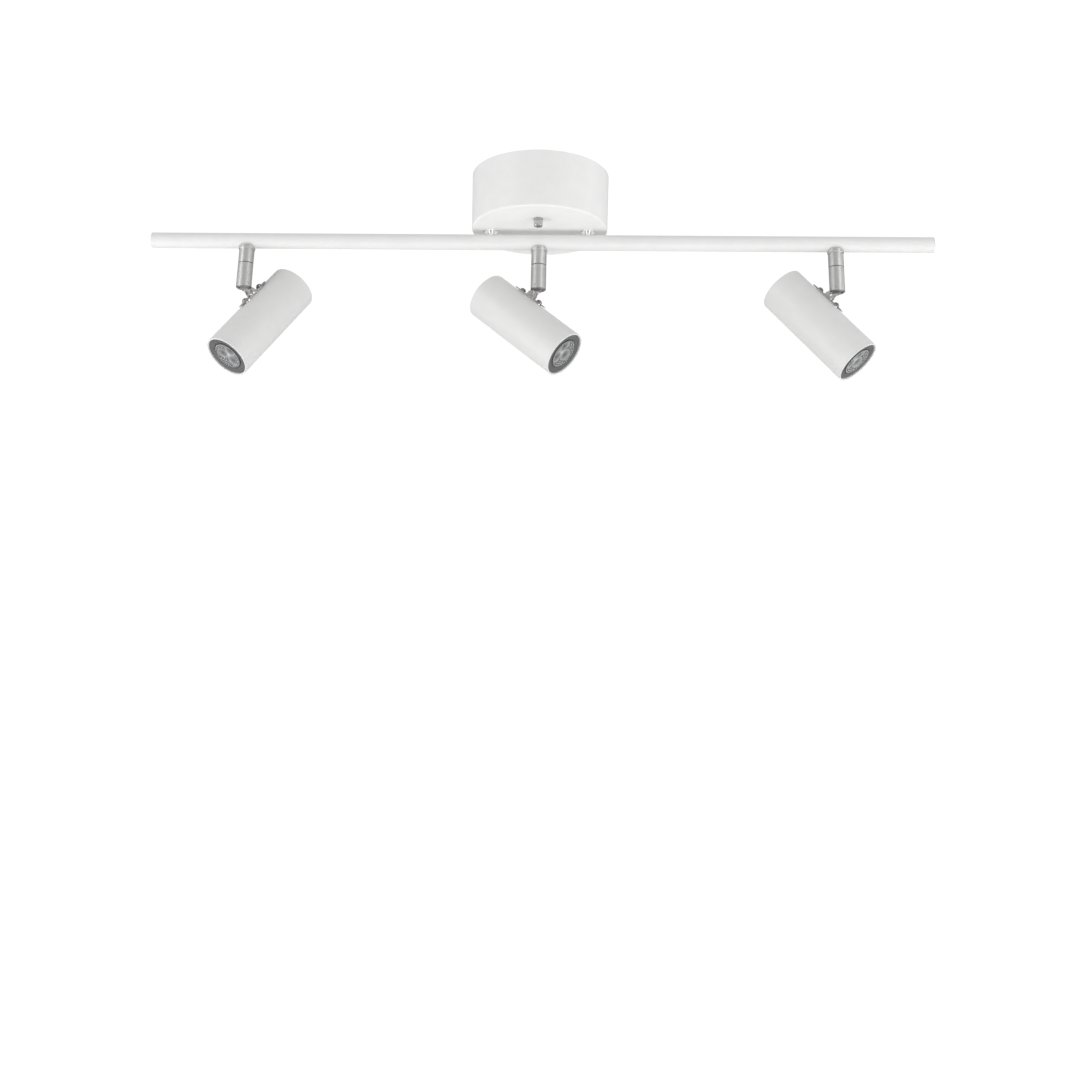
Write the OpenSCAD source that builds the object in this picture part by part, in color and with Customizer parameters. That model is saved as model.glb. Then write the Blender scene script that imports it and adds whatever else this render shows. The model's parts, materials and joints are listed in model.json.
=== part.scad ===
// Ceiling spotlight bar: a round canopy carries a long tube, and three
// cylindrical spotlights hang from the tube on stems that swivel and tilt.
// Millimetres, +Z up. The origin is the middle of the canopy at the ceiling.

/* [Canopy] */
// Outside diameter of the canopy at the ceiling
canopy_d = 158.5; // [148:0.5:180]
// How much narrower the canopy is at its lower edge
canopy_taper = 2.4; // [0:0.2:4]
// Height of the canopy below the ceiling
canopy_h = 67.3; // [60:0.1:80]
// Thickness of the pressed steel
canopy_wall = 1.2; // [1:0.1:1.6]
// Rounding of the canopy's lower edge
canopy_edge_r = 2.2; // [1.6:0.1:6]
// Distance between the two studs that hold the canopy
stud_spacing = 78; // [70:1:90]

/* [Bracket] */
// Length of the bracket's arm with the ceiling slots
bracket_l = 120; // [116:1:124]
// Width of both bracket arms
bracket_w = 22; // [20:1:24]
// Thickness of the bracket
bracket_t = 2; // [1.5:0.5:2.5]
// Distance between the middles of the ceiling slots
slot_spacing = 90; // [86:1:92]
// Length of a ceiling slot, end to end
slot_l = 16; // [12:1:16]
// Width of a ceiling slot
slot_w = 5; // [4:0.5:6]

/* [Bar] */
// Length of the bar with its end plugs
bar_l = 900; // [800:10:1200]
// Outside diameter of the bar
bar_d = 18; // [17:0.5:19]
// Wall of the bar
bar_wall = 1; // [0.8:0.1:1.2]
// Gap between the canopy and the bar
bar_gap = 5; // [4.5:0.1:8]
// Distance between the two spacers
spacer_spacing = 112; // [100:1:120]

/* [Stems] */
// Distance from the middle stem to each outer stem
spot_pitch = 338; // [250:0.5:340]
// Diameter of the stems
stem_d = 17.5; // [17:0.1:18]
// Diameter of the collar where the stem meets the bar
collar_d = 18.8; // [18.4:0.2:21]
// Length of the upper half of the stem
stem_upper_l = 16.4; // [12:0.1:18]
// Length of the lower half of the stem, with the fork
stem_lower_l = 29.6; // [29:0.1:36]

/* [Heads] */
// Outside diameter of a head
head_d = 54.5; // [54:0.1:56]
// Inside diameter of a head, for a 50 mm lamp
head_bore_d = 50.5; // [50.4:0.1:51]
// Length of a head in front of its pivot
head_front_l = 79; // [78:0.5:84]
// Length of a head behind its pivot
head_rear_l = 47; // [44:0.5:47]
// Distance from the pivot down to the head's surface
pivot_rise = 16; // [15.5:0.1:17]

/* [Aim] */
// Turn of the left head about its stem, from pointing right towards the front
pan_left = 141.5; // [0:0.5:180]
// Turn of the middle head
pan_middle = 20; // [0:0.5:180]
// Turn of the right head
pan_right = 18; // [0:0.5:180]
// Tilt of the left head below level
tilt_left = 53; // [0:0.5:80]
// Tilt of the middle head
tilt_middle = 39.5; // [0:0.5:80]
// Tilt of the right head
tilt_right = 49; // [0:0.5:80]

/* [Hidden] */
$fn = 64;
SPOTS = ["left", "middle", "right"];
BASE_PARTS = ["canopy_cup", "ceiling_bracket", "bracket_studs", "cap_nuts", "cap_washers",
    "terminal_block", "terminal_screws", "earth_screw", "wiring", "bar_tube", "bar_end_plugs",
    "bar_spacers", "bar_nipples", "nipple_nuts", "stem_nipples"];
STEM_PARTS = ["stem_collar", "stem_upper"];
FORK_PARTS = ["stem_lower", "pivot_pin"];
HEAD_PARTS = ["knuckle_lug", "mount_saddle", "mount_plate", "plate_screws", "head_tube",
    "rear_cap", "holder_bracket", "lamp_holder", "lamp_body", "lamp_ring", "lamp_lens"];

spot_x = [-spot_pitch, 0, spot_pitch];
pans = [pan_left, pan_middle, pan_right];
tilts = [tilt_left, tilt_middle, tilt_right];

eps = 0.01;
bar_r = bar_d / 2;
bar_inner_r = bar_r - bar_wall;
bar_z = -canopy_h - bar_gap - bar_r;
seat_clearance = 0.02;          // between a part and the round bar that it sits on
plug_flange_l = 1.5;
plug_insert_l = 10;

// Stem heights, from the bar down
collar_top_z = bar_z - bar_r + 1.8;
collar_bottom_z = bar_z - bar_r - 2.7;
upper_bottom_z = collar_bottom_z - stem_upper_l;
groove_h = 0.5;
lower_top_z = upper_bottom_z - groove_h;
lower_bottom_z = lower_top_z - stem_lower_l;
pivot_up = 4.2;                 // the pivot's height above the fork's end
pivot_z = lower_bottom_z + pivot_up;
web_h = 4;                      // the lower stem's roof, which turns on the nipple
nipple_r = 4;
nipple_bore_r = 2.6;
nipple_flange_r = 5.8;
cavity_r = 6.3;
cavity_l = 9.5;
fork_slot_w = 5.2;
fork_slot_up = 6.6;             // the slot's height above the pivot
fork_front_x = 6;               // the slot stops here and leaves a wall in front
pin_r = 1.5;
pin_running_clearance = 0.06;

// Heights of the knuckle's parts above the head's surface, in the head's frame
head_r = head_d / 2;
head_bore_r = head_bore_d / 2;
head_axis_z = -pivot_rise - head_r;
crest_z = -pivot_rise;
saddle_l = 34;
saddle_h = 0.8;
plate_l = 47;
plate_w = 13;
plate_t = 1.1;
plate_top_z = crest_z + saddle_h + plate_t;
plate_screw_x = 13;
screw_r = 1.5;
lead_hole_r = 3;
screw_head_r = 3.4;
screw_head_h = 3.2;
lug_t = 4.8;
lug_r = 5.6;
lug_base_r = 6.4;
lug_base_h = 1.5;

// Inside the head
bracket_strip_z = head_axis_z + head_bore_r - 0.9;
strip_t = 1.2;
holder_x = 20;
holder_l = 11;
holder_r = 13.5;
lamp_gap = 0.3;
lamp_rear_x = holder_x + holder_l + lamp_gap;
lamp_front_x = head_front_l - 1.4;
lamp_r = 24.9;
lens_r = 17.3;
ring_inner_r = 17.5;
ring_t = 3.2;
lamp_pin_y = 5;

// The leads from the terminal block to the bar
lead_r = 0.8;
pole_pitch = 10;
lead_fan = 3;                   // the leads run this far apart on their way across
lead_nest_r = 0.95;             // their distance from the nipple's axis
harness_r = 2.2;
harness_drop_r = 1.8;
harness_z = bar_z - 1.7;

module at_spot(i) {
    translate([spot_x[i], 0, 0]) rotate([0, 0, -pans[i]]) children();
}

module at_pivot(i) {
    at_spot(i) translate([0, 0, pivot_z]) rotate([0, tilts[i], 0]) children();
}

module both_sides(x) {
    for (side = [-1, 1]) translate([side * x, 0, 0]) children();
}

// A cylinder whose ends are chamfered
module chamfered_rod(r, h, low, high) {
    rotate_extrude() polygon([[0, 0], [r - low, 0], [r, low], [r, h - high], [r - high, h], [0, h]]);
}

module ring(outer_r, inner_r, h) {
    difference() {
        cylinder(r = outer_r, h = h);
        translate([0, 0, -1]) cylinder(r = inner_r, h = h + 2);
    }
}

// A flat bar with round ends, along X
module round_ended(l, w, t) {
    translate([-(l - w) / 2, -w / 2, 0]) cube([l - w, w, t]);
    both_sides((l - w) / 2) cylinder(d = w, h = t);
}

// A strip that tapers into narrow round ends, with its widest part in the middle
module lozenge(l, w, end_r, t) {
    linear_extrude(t) hull() {
        both_sides(l / 2 - end_r) circle(r = end_r, $fn = 32);
        square([l * 0.5, w], center = true);
    }
}

module bar_shape(extra) {
    translate([-bar_l / 2, 0, bar_z]) rotate([0, 90, 0]) cylinder(r = bar_r + extra, h = bar_l);
}

// ---- Canopy ----

// Half of a cup's section: r is the radius at its open top, low_r at its closed lower edge
module cup_profile(r, low_r, h, edge_r) {
    polygon([[0, 0], [low_r - edge_r, 0], [low_r - edge_r, edge_r], [low_r, edge_r], [r, h], [0, h]]);
    translate([low_r - edge_r, edge_r]) circle(r = edge_r);
}

module canopy_cup() {
    top_r = canopy_d / 2;
    low_r = top_r - canopy_taper / 2;
    color("white") translate([0, 0, -canopy_h]) difference() {
        rotate_extrude($fn = 180) cup_profile(top_r, low_r, canopy_h, canopy_edge_r);
        translate([0, 0, canopy_wall]) rotate_extrude($fn = 180)
            cup_profile(top_r - canopy_wall, low_r - canopy_wall, canopy_h, canopy_edge_r - canopy_wall);
        for (side = [-1, 1]) translate([0, side * stud_spacing / 2, -1]) cylinder(r = 2.2, h = 5);
        both_sides(spacer_spacing / 2) translate([0, 0, -1]) cylinder(r = 3.1, h = 5);
    }
}

module ceiling_bracket() {
    stud_arm_l = stud_spacing + bracket_w;
    color("silver") translate([0, 0, -bracket_t]) difference() {
        union() {
            round_ended(bracket_l, bracket_w, bracket_t);
            rotate([0, 0, 90]) round_ended(stud_arm_l, bracket_w, bracket_t);
        }
        both_sides(slot_spacing / 2) translate([0, 0, -1]) round_ended(slot_l, slot_w, bracket_t + 2);
        for (side = [-1, 1]) translate([0, side * stud_spacing / 2, 0]) {
            translate([0, 0, -1]) cylinder(r = 2.1, h = bracket_t + 2);
            translate([0, 0, bracket_t - 1]) cylinder(r = 3.6, h = 2);
        }
        translate([earth_x, 0, -1]) cylinder(r = 2.05, h = bracket_t + 2);
    }
}

module bracket_studs() {
    stud_l = canopy_h + 7;
    color("silver") for (side = [-1, 1]) translate([0, side * stud_spacing / 2, 0]) {
        translate([0, 0, -stud_l]) chamfered_rod(2, stud_l - 0.5, 0.4, 0);
        translate([0, 0, -0.95]) cylinder(r = 3.5, h = 0.9);
    }
}

nut_l = 8.7;
washer_t = 0.8;

module cap_washers() {
    color("silver") for (side = [-1, 1])
        translate([0, side * stud_spacing / 2, -canopy_h - washer_t]) ring(6.3, 2.1, washer_t);
}

module cap_nuts() {
    color("silver") for (side = [-1, 1])
        translate([0, side * stud_spacing / 2, -canopy_h - washer_t - nut_l]) difference() {
            chamfered_rod(5.25, nut_l, 0.7, 0.3);
            translate([0, 0, 1.5]) cylinder(r = 2.05, h = nut_l);
        }
}

// ---- Terminals and leads ----

earth_x = 27;
terminal_l = 31;
terminal_w = 18;
terminal_h = 9;
tower_y = 4.5;

module each_pole() {
    for (k = [-1:1]) translate([k * pole_pitch, 0, 0]) children();
}

module each_terminal_screw() {
    each_pole() for (side = [-1, 1]) translate([0, side * tower_y, 0]) children();
}

module terminal_block() {
    top_z = -bracket_t;
    color("ivory") translate([0, 0, top_z - terminal_h]) difference() {
        union() {
            translate([-terminal_l / 2, -terminal_w / 2, 0]) cube([terminal_l, terminal_w, terminal_h]);
            each_terminal_screw() translate([0, 0, -4]) cylinder(r = 3.4, h = 5);
        }
        each_terminal_screw() translate([0, 0, -5]) cylinder(r = 1.8, h = 8);
        each_pole() translate([0, -terminal_w, 5]) rotate([-90, 0, 0]) cylinder(r = 1.7, h = 2 * terminal_w);
        for (k = [-0.5, 0.5]) translate([k * pole_pitch - 0.6, -terminal_w, -1])
            cube([1.2, 2 * terminal_w, 2.5]);
    }
}

module terminal_screws() {
    color("silver") translate([0, 0, -bracket_t - terminal_h - 2.6]) each_terminal_screw() difference() {
        cylinder(r = 1.7, h = 5);
        translate([-2, -0.3, -1]) cube([4, 0.6, 1.8]);
    }
}

module earth_screw() {
    color("gold") translate([earth_x, 0, -bracket_t]) {
        translate([0, 0, -3.2]) difference() {
            chamfered_rod(3.75, 2.4, 0.8, 0);
            for (a = [0, 90]) rotate([0, 0, a]) translate([-2, -0.5, -1]) cube([4, 1, 2.2]);
        }
        translate([0, 0, -0.8]) cylinder(r = 4.5, h = 0.8);
        cylinder(r = 2, h = 1.6);
    }
}

function unit(v) = v / norm(v);

function tangent(p, i) =
    i == 0 ? unit(p[1] - p[0]) :
    i == len(p) - 1 ? unit(p[i] - p[i - 1]) :
    unit(unit(p[i] - p[i - 1]) + unit(p[i + 1] - p[i]));

// Cuts each corner of a route, and keeps its two ends
function cut_corners(p) = concat([p[0]],
    [for (i = [0:len(p) - 2]) each [p[i] * 0.75 + p[i + 1] * 0.25, p[i] * 0.25 + p[i + 1] * 0.75]],
    [p[len(p) - 1]]);

// A round lead along a route that never runs parallel to [1, 1, 1]
module lead(route, r, sides = 8) {
    p = cut_corners(cut_corners(route));
    n = len(p);
    rings = [for (i = [0:n - 1])
        let (t = tangent(p, i), a = unit(cross(t, [1, 1, 1])), b = cross(t, a))
        for (k = [0:sides - 1]) p[i] + r * (a * cos(360 * k / sides) + b * sin(360 * k / sides))];
    walls = [for (i = [0:n - 2]) for (k = [0:sides - 1])
        let (m = (k + 1) % sides)
        [i * sides + k, (i + 1) * sides + k, (i + 1) * sides + m, i * sides + m]];
    ends = [[for (k = [0:sides - 1]) k], [for (k = [sides - 1:-1:0]) (n - 1) * sides + k]];
    polyhedron(points = rings, faces = concat(walls, ends), convexity = 6);
}

// Each lead leaves its pole to the front, runs across to the left spacer and drops into the bar
module wiring() {
    pole_z = -bracket_t - terminal_h + 5;
    nipple_x = -spacer_spacing / 2;
    nest = [90, 330, 210];
    color("white") {
        for (k = [0:2]) {
            x = (k - 1) * pole_pitch;
            y = -terminal_w / 2 - 5 - k * lead_fan;
            in_x = nipple_x + lead_nest_r * cos(nest[k]);
            in_y = lead_nest_r * sin(nest[k]);
            lead([[x, -7, pole_z], [x, y + 2, pole_z], [x - 6, y, pole_z - 4], [-30, y, -22],
                [in_x + 6, y / 2, -36], [in_x, in_y, -48], [in_x, in_y, -60],
                [in_x, in_y, harness_z + harness_r + 1]], lead_r);
        }
        translate([-spot_pitch - harness_r, 0, harness_z]) rotate([0, 90, 0])
            cylinder(r = harness_r, h = 2 * (spot_pitch + harness_r));
        for (x = spot_x) translate([x, 0, lower_top_z - web_h - cavity_l + 1])
            cylinder(r = harness_drop_r, h = harness_z - lower_top_z + web_h + cavity_l - 1);
    }
}

// ---- Bar ----

module bar_tube() {
    tube_l = bar_l - 2 * plug_flange_l;
    color("white") difference() {
        translate([-tube_l / 2, 0, bar_z]) rotate([0, 90, 0]) ring(bar_r, bar_inner_r, tube_l);
        both_sides(spacer_spacing / 2) translate([0, 0, bar_z]) cylinder(r = 3.05, h = bar_d);
        for (x = spot_x) translate([x, 0, bar_z - bar_d]) cylinder(r = nipple_r + 0.05, h = bar_d);
    }
}

module bar_end_plugs() {
    color("white") for (side = [-1, 1])
        translate([side * bar_l / 2, 0, bar_z]) rotate([0, -side * 90, 0]) {
            chamfered_rod(bar_r, plug_flange_l, 0.6, 0);
            cylinder(r = bar_inner_r - 0.1, h = plug_flange_l + plug_insert_l);
        }
}

module bar_spacers() {
    flange_r = 8;
    neck_r = 3.7;
    color("silver") both_sides(spacer_spacing / 2) difference() {
        union() {
            translate([0, 0, -canopy_h - 1.5]) chamfered_rod(flange_r, 1.5, 0.6, 0);
            translate([0, 0, bar_z]) cylinder(r = neck_r, h = bar_r + bar_gap - 1);
        }
        bar_shape(seat_clearance);
        translate([0, 0, bar_z]) cylinder(r = 3.1, h = bar_d + bar_gap);
    }
}

module bar_nipples() {
    nipple_l = bar_gap + 14;
    color("silver") both_sides(spacer_spacing / 2)
        translate([0, 0, bar_z + bar_inner_r - 4]) ring(3, 2.1, nipple_l);
}

module nipple_nuts() {
    color("silver") both_sides(spacer_spacing / 2)
        translate([0, 0, -canopy_h + canopy_wall]) difference() {
            cylinder(r = 5.8, h = 3.5, $fn = 6);
            translate([0, 0, -1]) cylinder(r = 3.05, h = 6);
        }
}

// ---- Stems ----

// A hollow nipple screws into the bar, and its flange carries the lower stem
module stem_nipples() {
    top_z = bar_z - bar_inner_r + 4;
    flange_top_z = lower_top_z - web_h - 0.2;
    flange_h = 2;
    color("silver") for (x = spot_x) translate([x, 0, 0]) {
        translate([0, 0, flange_top_z]) ring(nipple_r, nipple_bore_r, top_z - flange_top_z);
        translate([0, 0, flange_top_z - flange_h]) ring(nipple_flange_r, nipple_bore_r, flange_h + eps);
    }
}

module stem_collar() {
    h = collar_top_z - collar_bottom_z;
    color("silver") difference() {
        translate([0, 0, collar_bottom_z]) chamfered_rod(collar_d / 2, h, 0.5, 0.3);
        children();
        translate([0, 0, collar_bottom_z - 1]) cylinder(r = nipple_r + 0.1, h = h + 2);
    }
}

module stem_upper() {
    color("silver") translate([0, 0, upper_bottom_z]) difference() {
        chamfered_rod(stem_d / 2, stem_upper_l, 0.4, 0);
        translate([0, 0, -1]) cylinder(r = nipple_r + 0.1, h = stem_upper_l + 2);
    }
}

// The lower stem turns on the nipple, and its slot, open to the rear, takes the knuckle
module stem_lower() {
    color("silver") difference() {
        translate([0, 0, lower_bottom_z]) chamfered_rod(stem_d / 2, stem_lower_l, 1, 0.4);
        translate([0, 0, lower_top_z - web_h - 1])
            cylinder(r = nipple_r + pin_running_clearance, h = web_h + 2);
        translate([0, 0, lower_top_z - web_h - cavity_l]) cylinder(r = cavity_r, h = cavity_l);
        translate([0, 0, pivot_z]) {
            cylinder(r = nipple_bore_r, h = stem_lower_l - pivot_up - web_h - 1);
            translate([-stem_d, -fork_slot_w / 2, -stem_d])
                cube([stem_d + fork_front_x, fork_slot_w, stem_d + fork_slot_up]);
            translate([0, -stem_d, 0]) rotate([-90, 0, 0]) cylinder(r = pin_r + 0.02, h = 2 * stem_d);
        }
    }
}

module pivot_pin() {
    pin_l = stem_d - 1.2;
    color("silver") translate([0, -pin_l / 2, pivot_z]) rotate([-90, 0, 0]) cylinder(r = pin_r, h = pin_l);
}

// ---- Knuckle: the tongue, its base, and the plate that screws to the head ----

module knuckle_lug() {
    waist_x = 8.6;
    waist_z = -7.4;
    waist_r = 4.2;
    base_top_z = plate_top_z + lug_base_h;
    color("silver") difference() {
        union() {
            rotate([90, 0, 0]) linear_extrude(lug_t, center = true) difference() {
                union() {
                    circle(r = lug_r);
                    translate([-lug_r, base_top_z - 0.5]) square([2 * lug_r, -base_top_z + 0.5]);
                }
                both_sides(waist_x) translate([0, waist_z]) circle(r = waist_r);
            }
            translate([0, 0, plate_top_z]) chamfered_rod(lug_base_r, lug_base_h, 0, 0.5);
        }
        translate([0, -lug_t, 0]) rotate([-90, 0, 0])
            cylinder(r = pin_r + pin_running_clearance, h = 2 * lug_t);
        translate([0, 0, plate_top_z - 1]) cylinder(r = 1.7, h = 7);
        translate([0, -lug_t, -9]) rotate([-90, 0, 0]) {
            translate([0, -1, 0]) cylinder(r = 1.6, h = 2 * lug_t);
            translate([0, 1, 0]) cylinder(r = 1.6, h = 2 * lug_t);
            translate([-1.6, -1, 0]) cube([3.2, 2, 2 * lug_t]);
        }
    }
}

module plate_holes(r, top_z, depth) {
    both_sides(plate_screw_x) translate([0, 0, top_z - depth]) cylinder(r = r, h = depth + 1);
    translate([0, 0, top_z - depth]) cylinder(r = lead_hole_r, h = depth + 1);
}

module mount_plate() {
    color("silver") difference() {
        translate([0, 0, plate_top_z - plate_t]) lozenge(plate_l, plate_w, 2.6, plate_t);
        plate_holes(screw_r + 0.1, plate_top_z, plate_t + 1);
    }
}

module mount_saddle() {
    saddle_w = plate_w - 1;
    depth = 2.5;
    color("white") difference() {
        translate([0, 0, crest_z + saddle_h - depth]) round_ended(saddle_l, saddle_w, depth);
        translate([-saddle_l, 0, head_axis_z]) rotate([0, 90, 0])
            cylinder(r = head_r + seat_clearance, h = 2 * saddle_l, $fn = 360);
        plate_holes(screw_r + 0.2, crest_z + saddle_h, depth + 1);
    }
}

module plate_screws() {
    screw_end_z = bracket_strip_z - strip_t - 1.5;
    dome_r = 3.9;
    color("dimgray") both_sides(plate_screw_x) {
        translate([0, 0, plate_top_z]) difference() {
            intersection() {
                cylinder(r = screw_head_r, h = screw_head_h);
                translate([0, 0, screw_head_h - dome_r]) sphere(r = dome_r);
            }
            for (a = [45, 135]) rotate([0, 0, a])
                translate([-1.7, -0.35, screw_head_h - 1.3]) cube([3.4, 0.7, 2]);
        }
        translate([0, 0, screw_end_z]) cylinder(r = screw_r - 0.05, h = plate_top_z - screw_end_z + eps);
    }
}

// ---- Head: along X about the head's axis, with the pivot at the origin ----

module along_head(x) {
    translate([x, 0, head_axis_z]) rotate([0, 90, 0]) children();
}

module head_tube() {
    rim = 0.3;
    l = head_front_l + head_rear_l;
    color("white") difference() {
        along_head(-head_rear_l) difference() {
            chamfered_rod(head_r, l, 0.8, rim);
            translate([0, 0, -1]) cylinder(r = head_bore_r, h = l + 2);
        }
        plate_holes(screw_r + 0.2, crest_z + 1, 6);
    }
}

module rear_cap() {
    cap_t = 3;
    color("white") along_head(-head_rear_l + 0.6) difference() {
        chamfered_rod(head_bore_r - 0.1, cap_t, 0.4, 0);
        translate([0, 0, 1.2]) cylinder(r = head_bore_r - 1.6, h = cap_t);
    }
}

module holder_bracket() {
    strip_w = 12;
    strip_l = 2 * 18;
    leg_x = holder_x - strip_t - 0.1;
    leg_end_z = head_axis_z - 9;
    color("silver") difference() {
        union() {
            translate([leg_x + strip_t - strip_l - 1, -strip_w / 2, bracket_strip_z - strip_t])
                cube([strip_l + 1, strip_w, strip_t]);
            translate([leg_x, -strip_w / 2, leg_end_z]) cube([strip_t, strip_w, bracket_strip_z - leg_end_z]);
        }
        both_sides(plate_screw_x) translate([0, 0, bracket_strip_z - 3]) cylinder(r = screw_r, h = 5);
        translate([0, 0, bracket_strip_z - 3]) cylinder(r = lead_hole_r, h = 5);
        along_head(leg_x - 1) for (side = [-1, 1]) translate([side * 3.5, 0, 0]) cylinder(r = 1.3, h = 4);
    }
}

module lamp_holder() {
    color("ivory") along_head(holder_x) difference() {
        chamfered_rod(holder_r, holder_l, 0.5, 0.5);
        for (side = [-1, 1]) translate([0, side * lamp_pin_y, 2.5]) cylinder(r = 2.9, h = holder_l);
        for (side = [-1, 1]) translate([side * 3.5, 0, -1]) cylinder(r = 1.2, h = 5);
    }
}

module lamp_body() {
    l = lamp_front_x - ring_t - lamp_rear_x;
    base_r = 14;
    base_l = 9;
    shoulder_l = l - 13;
    color("white") along_head(lamp_rear_x) {
        rotate_extrude() polygon([[0, 0], [base_r - 1, 0], [base_r, 1], [base_r, base_l],
            [lamp_r, shoulder_l], [lamp_r, l], [0, l]]);
        for (side = [-1, 1]) translate([0, side * lamp_pin_y, 0]) {
            translate([0, 0, -4]) cylinder(r = 1.3, h = 5);
            translate([0, 0, -6.5]) cylinder(r = 2.4, h = 2.6);
        }
    }
}

module lamp_ring() {
    color("dimgray") along_head(lamp_front_x - ring_t + 0.05)
        rotate_extrude() polygon([[ring_inner_r, 0], [lamp_r, 0], [lamp_r, ring_t - 0.8],
            [lamp_r - 0.8, ring_t], [ring_inner_r, ring_t - 0.4]]);
}

module lamp_lens() {
    lens_t = 2.6;
    color("lightgray") along_head(lamp_front_x - ring_t + 0.05)
        rotate_extrude() polygon([[0, 0], [lens_r, 0], [lens_r, lens_t - 0.3], [lens_r - 0.3, lens_t],
            [0, lens_t]]);
}

// ---- Assembly ----

canopy_cup();
ceiling_bracket();
bracket_studs();
cap_nuts();
cap_washers();
terminal_block();
terminal_screws();
earth_screw();
wiring();
bar_tube();
bar_end_plugs();
bar_spacers();
bar_nipples();
nipple_nuts();
stem_nipples();
for (i = [0:2]) {
    translate([spot_x[i], 0, 0]) stem_collar() bar_shape(seat_clearance);
    translate([spot_x[i], 0, 0]) stem_upper();
    at_spot(i) stem_lower();
    at_spot(i) pivot_pin();
    at_pivot(i) knuckle_lug();
    at_pivot(i) mount_plate();
    at_pivot(i) mount_saddle();
    at_pivot(i) plate_screws();
    at_pivot(i) head_tube();
    at_pivot(i) rear_cap();
    at_pivot(i) holder_bracket();
    at_pivot(i) lamp_holder();
    at_pivot(i) lamp_body();
    at_pivot(i) lamp_ring();
    at_pivot(i) lamp_lens();
}
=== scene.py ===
"""Looks of a ceiling spotlight bar: a white canopy and bar with three swivelling spotlights.

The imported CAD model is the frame. Turned and moulded parts are rebuilt here with round edges,
threads, flutes and optics, and every node of the CAD model gets a procedural material.
"""

import json
import math

import bmesh
import bpy
from mathutils import Matrix, Vector


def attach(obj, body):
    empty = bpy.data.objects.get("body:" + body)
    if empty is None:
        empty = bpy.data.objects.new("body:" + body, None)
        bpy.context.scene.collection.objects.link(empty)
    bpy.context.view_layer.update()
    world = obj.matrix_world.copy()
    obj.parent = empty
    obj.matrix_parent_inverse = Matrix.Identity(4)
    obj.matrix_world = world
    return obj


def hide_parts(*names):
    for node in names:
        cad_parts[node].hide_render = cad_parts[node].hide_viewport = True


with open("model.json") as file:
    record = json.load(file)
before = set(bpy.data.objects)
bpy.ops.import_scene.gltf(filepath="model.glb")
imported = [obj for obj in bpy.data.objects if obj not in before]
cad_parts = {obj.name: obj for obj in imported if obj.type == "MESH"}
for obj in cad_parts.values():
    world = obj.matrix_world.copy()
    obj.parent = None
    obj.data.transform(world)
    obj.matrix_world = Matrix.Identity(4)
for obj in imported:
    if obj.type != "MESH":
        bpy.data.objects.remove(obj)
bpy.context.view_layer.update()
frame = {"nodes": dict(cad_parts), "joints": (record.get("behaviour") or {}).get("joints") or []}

MM = 0.001
SPOTS = ("left", "middle", "right")
JOINTS = {joint["name"]: joint for joint in frame["joints"]}
UP = Vector((0, 0, 1))


# ---- Frames of the parts, from the CAD model ----

def head_frame(spot):
    """A head's own frame: origin at its tilt pivot, X towards its lamp, Z from the head to the pivot."""
    joint = JOINTS["tilt_" + spot]
    level_tilt = math.radians(-joint["range_deg"][0])
    side = Vector(joint["axis"]).normalized()
    ahead = side.cross(UP)
    turn = Matrix((ahead, side, UP)).transposed().to_4x4()
    return Matrix.Translation(joint["pos_m"]) @ turn @ Matrix.Rotation(level_tilt, 4, "Y")


def extent(node, local=Matrix.Identity(4)):
    """The lowest and highest corner of a CAD node in a frame of its own, in metres."""
    back = local.inverted()
    points = [back @ v.co for v in frame["nodes"][node].data.vertices]
    low = Vector([min(p[i] for p in points) for i in range(3)])
    high = Vector([max(p[i] for p in points) for i in range(3)])
    return low, high


def middle(low, high):
    """The middle of a box between two corners."""
    return (low + high) / 2


# ---- Mesh helpers ----

ON_AXIS = 1e-7           # a lathe's profile closes to a point below this radius
THREAD_DEPTH = 0.54      # depth of a V thread, as a share of its pitch


def mesh_object(name, verts, faces, place=Matrix.Identity(4), sharp=35):
    """A smooth object with its sharp edges kept; sharp is the smallest angle of such an edge."""
    mesh = bpy.data.meshes.new(name)
    mesh.from_pydata(verts, [], faces)
    mesh.validate()
    mesh.update()
    mesh.shade_smooth()
    mesh.set_sharp_from_angle(angle=math.radians(sharp))
    obj = bpy.data.objects.new(name, mesh)
    bpy.context.scene.collection.objects.link(obj)
    obj.matrix_world = place
    return obj


def arc(x, r, radius, start, end, steps=6):
    """Points (along the axis, from the axis) of an arc in a lathe's profile."""
    angles = [math.radians(start + (end - start) * i / steps) for i in range(steps + 1)]
    return [(x + radius * math.cos(a), r + radius * math.sin(a)) for a in angles]


def lathe(name, profile, place, segments=96, closed=False):
    """Turns a profile of (along, radius) points about the X axis of its place."""
    verts = []
    rings = []
    for along, radius in profile:
        if radius < ON_AXIS:
            rings.append([len(verts)])
            verts.append((along, 0, 0))
            continue
        rings.append(list(range(len(verts), len(verts) + segments)))
        for k in range(segments):
            a = 2 * math.pi * k / segments
            verts.append((along, radius * math.cos(a), radius * math.sin(a)))
    faces = []
    pairs = list(zip(rings, rings[1:]))
    if closed:
        pairs.append((rings[-1], rings[0]))
    for low, high in pairs:
        for k in range(segments):
            m = (k + 1) % segments
            if len(low) == 1:
                faces.append((low[0], high[m], high[k]))
            elif len(high) == 1:
                faces.append((low[k], low[m], high[0]))
            else:
                faces.append((low[k], low[m], high[m], high[k]))
    return mesh_object(name, verts, faces, place)


def upright(x, y, z):
    """A place whose X axis points up, for lathes that stand."""
    return Matrix.Translation((x, y, z)) @ Matrix.Rotation(-math.pi / 2, 4, "Y")


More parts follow.
